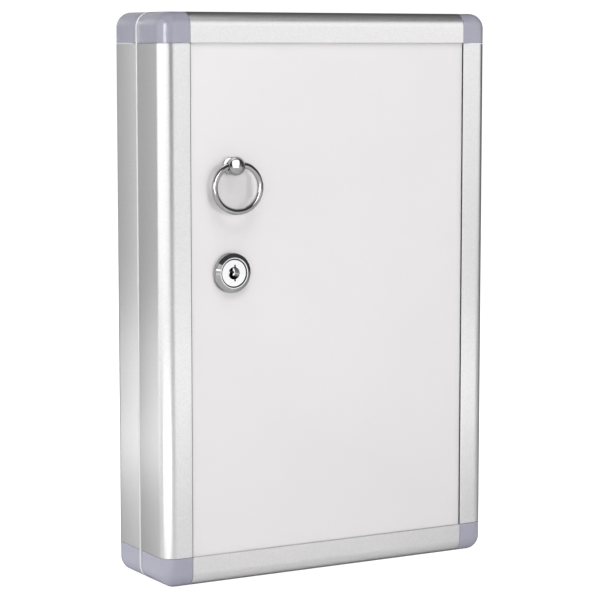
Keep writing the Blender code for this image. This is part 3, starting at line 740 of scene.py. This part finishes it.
def index_numbers(row):
    """Plain running numbers on the index strip, one over each hook."""
    low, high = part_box(f"index_strip_{row}")
    made = []
    for i in range(HOOKS):
        text = bpy.data.curves.new("number", "FONT")
        text.body = str((row - 1) * HOOKS + i + 1)
        text.size = 5.2 * MM
        text.align_x = "CENTER"
        text.align_y = "CENTER"
        text.extrude = 0.03 * MM
        text.resolution_u = 3
        at = ((i - (HOOKS - 1) / 2) * HOOK_PITCH, low.y - 0.03 * MM, (low.z + high.z) / 2)
        made.append(to_mesh(place(f"number_{row}_{i}", text, at, TO_FRONT)))
    dress(join(f"index_numbers_{row}", made), "ink", "case")


def cad_pieces():
    """CAD nodes whose own shape is right."""
    keep("door_panel", "door")
    keep("back_panel", "back")
    for node in ("lock_nut", "lock_cam", "pull_screw"):
        keep(node, "zinc")
    for end in ("upper", "lower"):
        keep(f"{end}_bumper", "rubber")
        for part in ("case_leaf", "door_leaf", "pin", "case_screw_a", "case_screw_b", "door_screw_a",
                     "door_screw_b"):
            keep(f"{end}_hinge_{part}", "zinc")


# ---- Stage, light and camera --------------------------------------------------------------

def floor():
    """A matt floor that is plain white to the camera and pale to everything else."""
    made = Finish("floor", roughness=0.6, Emission_Color=(1, 1, 1, 1))
    made.colour(made.noise((3.0,) * 3), (0.68, 0.68, 0.68), (0.70, 0.70, 0.70))
    path = made.node("ShaderNodeLightPath")
    made.tree.links.new(path.outputs["Is Camera Ray"], made.shader.inputs["Emission Strength"])
    below = 0.2 * MM
    plane = box("floor", (-30, -10, -0.01), (30, 60, 0), (0, 0, -TOP_Z - below))
    plane.data.materials.append(made.material)


def receivers(name, pieces, state):
    """A light's list of the pieces that it lights, or that it leaves out."""
    made = bpy.data.collections.new(name)
    for piece in pieces:
        made.objects.link(bpy.data.objects[piece])
    for entry in made.collection_objects:
        entry.light_linking.link_state = state
    return made


def softbox(name, at, aim, size, radiance, lit, glossy=True, diffuse=True):
    """A rectangular softbox of even brightness, given as the white level that it shows in a mirror."""
    light = bpy.data.lights.new(name, "AREA")
    light.shape = "RECTANGLE"
    light.size, light.size_y = size
    light.energy = radiance * pi * size[0] * size[1]
    obj = bpy.data.objects.new(name, light)
    bpy.context.scene.collection.objects.link(obj)
    obj.location = at
    obj.rotation_euler = (Vector(aim) - Vector(at)).to_track_quat("-Z", "Y").to_euler()
    obj.visible_camera = False
    obj.visible_glossy = glossy
    obj.visible_diffuse = diffuse
    obj.light_linking.receiver_collection = lit


def world():
    """White where the camera sees it, and a darker studio for reflections."""
    made = bpy.data.worlds.new("studio")
    bpy.context.scene.world = made
    made.use_nodes = True
    tree = made.node_tree
    tree.nodes.clear()
    out = tree.nodes.new("ShaderNodeOutputWorld")
    mix = tree.nodes.new("ShaderNodeMixShader")
    seen = tree.nodes.new("ShaderNodeBackground")
    studio = tree.nodes.new("ShaderNodeBackground")
    path = tree.nodes.new("ShaderNodeLightPath")
    seen.inputs["Color"].default_value = (1, 1, 1, 1)
    seen.inputs["Strength"].default_value = 1.05
    studio.inputs["Color"].default_value = (1, 1, 1, 1)
    studio.inputs["Strength"].default_value = 0.08
    tree.links.new(path.outputs["Is Camera Ray"], mix.inputs["Fac"])
    tree.links.new(studio.outputs["Background"], mix.inputs[1])
    tree.links.new(seen.outputs["Background"], mix.inputs[2])
    tree.links.new(mix.outputs["Shader"], out.inputs["Surface"])


def lights():
    """The studio's softboxes: name, place, aim, size, brightness and the pieces that they light.

    The corner pieces have some of their own. The chrome pieces see only theirs, so that they show dark between
    the lights.
    """
    housing, plug, knob, ring = "lock_housing_skin", "lock_plug_skin", "pull_knob_skin", "pull_ring_skin"
    chromed = (housing, plug, knob, ring)
    corners = [f"{half}_{end}_{side}_corner_skin" for half in HALVES for end in ("top", "bottom")
               for side in ("left", "right")]
    rest = receivers("all_but_chrome", chromed, "EXCLUDE")
    metal = receivers("rails_and_sheets", (*chromed, *corners), "EXCLUDE")
    softbox("top_softbox", (-0.2, -0.9, 1.55), (0, -0.1, 0), (1.0, 1.0), 5.8, metal)
    softbox("left_softbox", (-0.95, -0.525, 0.42), (0, -0.525, 0.42), (2.55, 1.1), 1.21, rest)
    softbox("low_left_box", (-0.27, -0.17, -0.125), (-0.1, -0.06, -0.125), (0.25, 0.045), 2.6,
            rest, diffuse=False)
    softbox("low_side_box", (-0.42, 0.42, -0.115), (-0.1, 0.0, -0.115), (0.4, 0.06), 0.8, rest)
    softbox("near_side_box", (-0.24, 0.20, -0.125), (-0.1, -0.03, -0.125), (0.3, 0.04), 0.6,
            rest, diffuse=False)
    softbox("low_front_box", (0.22, -0.45, -0.115), (0.0, -0.06, -0.115), (0.5, 0.06), 0.85,
            rest, diffuse=False)
    softbox("rear_middle", (-0.05, 1.5, 0.15), (-0.1, 0, 0), (0.8, 0.7), 0.55, rest, diffuse=False)
    softbox("front_softbox", (1.15, -1.30, 0.55), (0, -0.05, 0.2), (2.9, 1.4), 1.02, rest, diffuse=False)
    softbox("rear_softbox", (-1.0, 1.5, 0.36), (-0.1, 0, 0.1), (1.6, 1.0), 0.44, rest)
    softbox("rear_fill", (-0.8, 1.2, 1.2), (-0.8, 1.2, 0), (1.0, 1.0), 1.2, rest, glossy=False)
    softbox("key_softbox", (0.06, -1.35, 0.16), (0, -0.06, 0.02), (0.4, 0.4), 8.9, rest, glossy=False)
    plastic = receivers("corner_pieces", corners, "INCLUDE")
    softbox("plastic_top_box", (-0.2, -0.9, 1.55), (0, -0.1, 0), (1.0, 1.0), 4.9, plastic, glossy=False)
    softbox("plastic_strip", (-1.05, -0.65, 0.2), (-0.1, -0.03, 0.05), (0.45, 0.9), 6.0, plastic, diffuse=False)
    softbox("plastic_wall", (0.0, 2.0, 0.95), (-0.1, 0, 0.1), (2.4, 1.0), 0.4, plastic, diffuse=False)
    softbox("plastic_front_box", (0.35, -0.60, -0.12), (0.05, -0.06, -0.1), (0.2, 0.2), 12.5,
            plastic, glossy=False)
    softbox("plastic_low_box", (-0.38, -0.03, -0.14), (-0.1, -0.03, -0.14), (0.1, 0.1), 20.0,
            plastic, glossy=False)
    every = receivers("chrome_pieces", chromed, "INCLUDE")
    lock = receivers("lock_pieces", (housing, plug), "INCLUDE")
    wire = receivers("ring_wire", (ring,), "INCLUDE")
    ball = receivers("ball", (knob,), "INCLUDE")
    softbox("chrome_front_box", (0.36, -0.78, 0.02), (-0.06, -0.06, 0.02), (0.7, 0.3), 1.38, lock)
    softbox("chrome_grey_box", (-0.62, -0.95, 0.19), (-0.06, -0.06, 0.10), (0.8, 0.65), 0.75, lock)
    softbox("chrome_strip", (-0.80, -0.62, 0.14), (-0.06, -0.06, 0.05), (1.2, 0.05), 3.6, lock)
    softbox("chrome_rear_box", (-0.85, 0.55, 0.15), (-0.06, -0.06, 0.05), (0.6, 0.6), 2.0, every)
    softbox("ring_front_box", (0.36, -0.78, 0.02), (-0.06, -0.06, 0.07), (0.3, 0.3), 1.0, wire)
    softbox("ring_white_box", (-0.62, -0.95, 0.19), (-0.06, -0.06, 0.07), (0.8, 0.7), 3.2, wire)
    softbox("ring_strip", (-0.95, -0.20, 0.12), (-0.06, -0.06, 0.07), (0.3, 0.3), 3.0, wire)
    softbox("ball_box", (-0.216, -0.544, 0.397), (-0.06, -0.066, 0.07), (1.1, 1.3), 1.9, ball)
    softbox("ball_grey_box", (0.31, -0.54, 0.05), (-0.06, -0.066, 0.07), (0.35, 0.35), 0.25, ball)


def camera():
    lens = bpy.data.cameras.new("camera")
    lens.lens = 135.64
    lens.sensor_width = 36.0
    lens.clip_start = 0.05
    obj = bpy.data.objects.new("camera", lens)
    bpy.context.scene.collection.objects.link(obj)
    obj.location = (-0.6130, -1.0966, 0.1318)
    obj.rotation_euler = (radians(90 - 6.38), 0, radians(-29.80))
    bpy.context.scene.camera = obj


frames()
lock_housing()
lock_plug()
wafers()
cam_screw()
pull_knob()
pull_ring()
racks()
cad_pieces()
floor()
world()
lights()
camera()
bpy.context.scene.view_settings.view_transform = "Standard"
